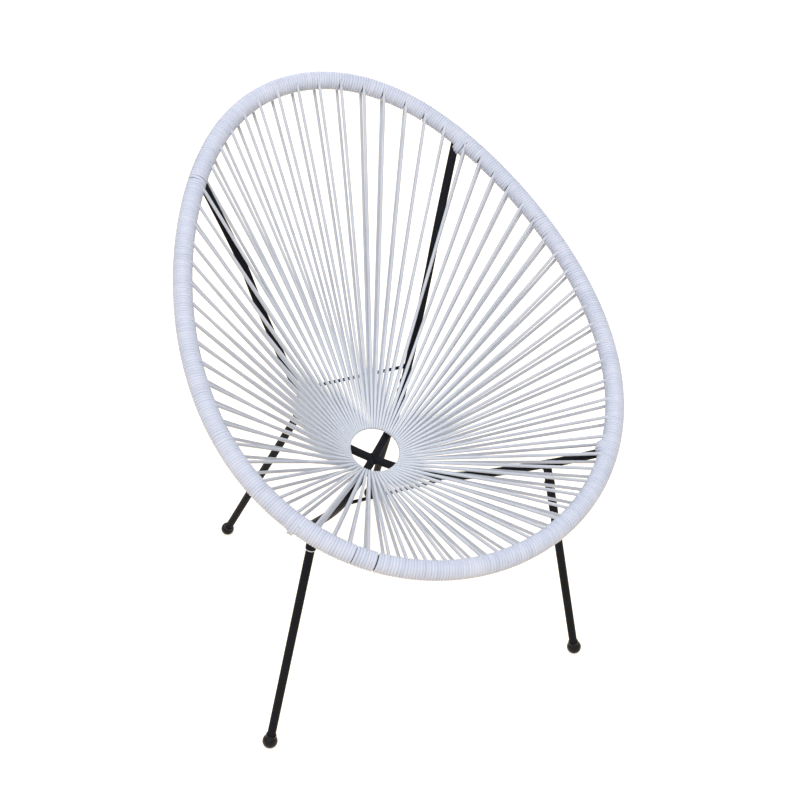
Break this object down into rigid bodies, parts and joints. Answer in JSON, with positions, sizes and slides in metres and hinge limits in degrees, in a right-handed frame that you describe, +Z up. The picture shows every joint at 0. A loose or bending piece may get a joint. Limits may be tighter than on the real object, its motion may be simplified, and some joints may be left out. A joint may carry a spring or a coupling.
{
  "type": "acapulco chair",
  "caption": "Round-backed lounge chair with a bowl of taut cord strung from an egg-shaped hoop to a small ring, on a bent rod frame with splayed screw-in legs.",
  "frame": {"origin": "on the floor, under the middle of the chair's outer box", "axes": "+Z up; the sitter faces -Y; +X is to the right in a front view"},
  "size_m": [0.6876, 0.8338, 0.9437],
  "materials": {
    "cord": "extruded PVC cord, about 4 mm round, pale lavender white with a soft satin sheen",
    "frame_paint": "steel with a satin black powder coat",
    "ring_steel": "bare steel rod, almost wholly covered by the cord's loops",
    "washer_zinc": "zinc-plated steel",
    "foot_rubber": "moulded black rubber"
  },
  "bodies": {
    "root": {"rim_hoop": "frame_paint", "centre_ring": "ring_steel", "cord_web_right_1": "cord", "cord_web_right_2": "cord", "cord_web_right_3": "cord", "cord_web_front_1": "cord", "cord_web_front_2": "cord", "cord_web_front_3": "cord", "cord_web_front_4": "cord", "cord_web_left_1": "cord", "cord_web_left_2": "cord", "cord_web_left_3": "cord", "cord_web_back_1": "cord", "cord_web_back_2": "cord", "cord_web_back_3": "cord", "seat_bar_through": "frame_paint", "seat_bar_rear_half": "frame_paint", "seat_bar_front_half": "frame_paint", "tie_rod_rear": "frame_paint", "tie_rod_front": "frame_paint", "leg_socket_front_left": "frame_paint", "leg_washer_front_left": "washer_zinc", "leg_front_left": "frame_paint", "foot_cap_front_left": "foot_rubber", "leg_socket_rear_left": "frame_paint", "leg_washer_rear_left": "washer_zinc", "leg_rear_left": "frame_paint", "foot_cap_rear_left": "foot_rubber", "leg_socket_front_right": "frame_paint", "leg_washer_front_right": "washer_zinc", "leg_front_right": "frame_paint", "foot_cap_front_right": "foot_rubber", "leg_socket_rear_right": "frame_paint", "leg_washer_rear_right": "washer_zinc", "leg_rear_right": "frame_paint", "foot_cap_rear_right": "foot_rubber"}
  },
  "joints": []
}
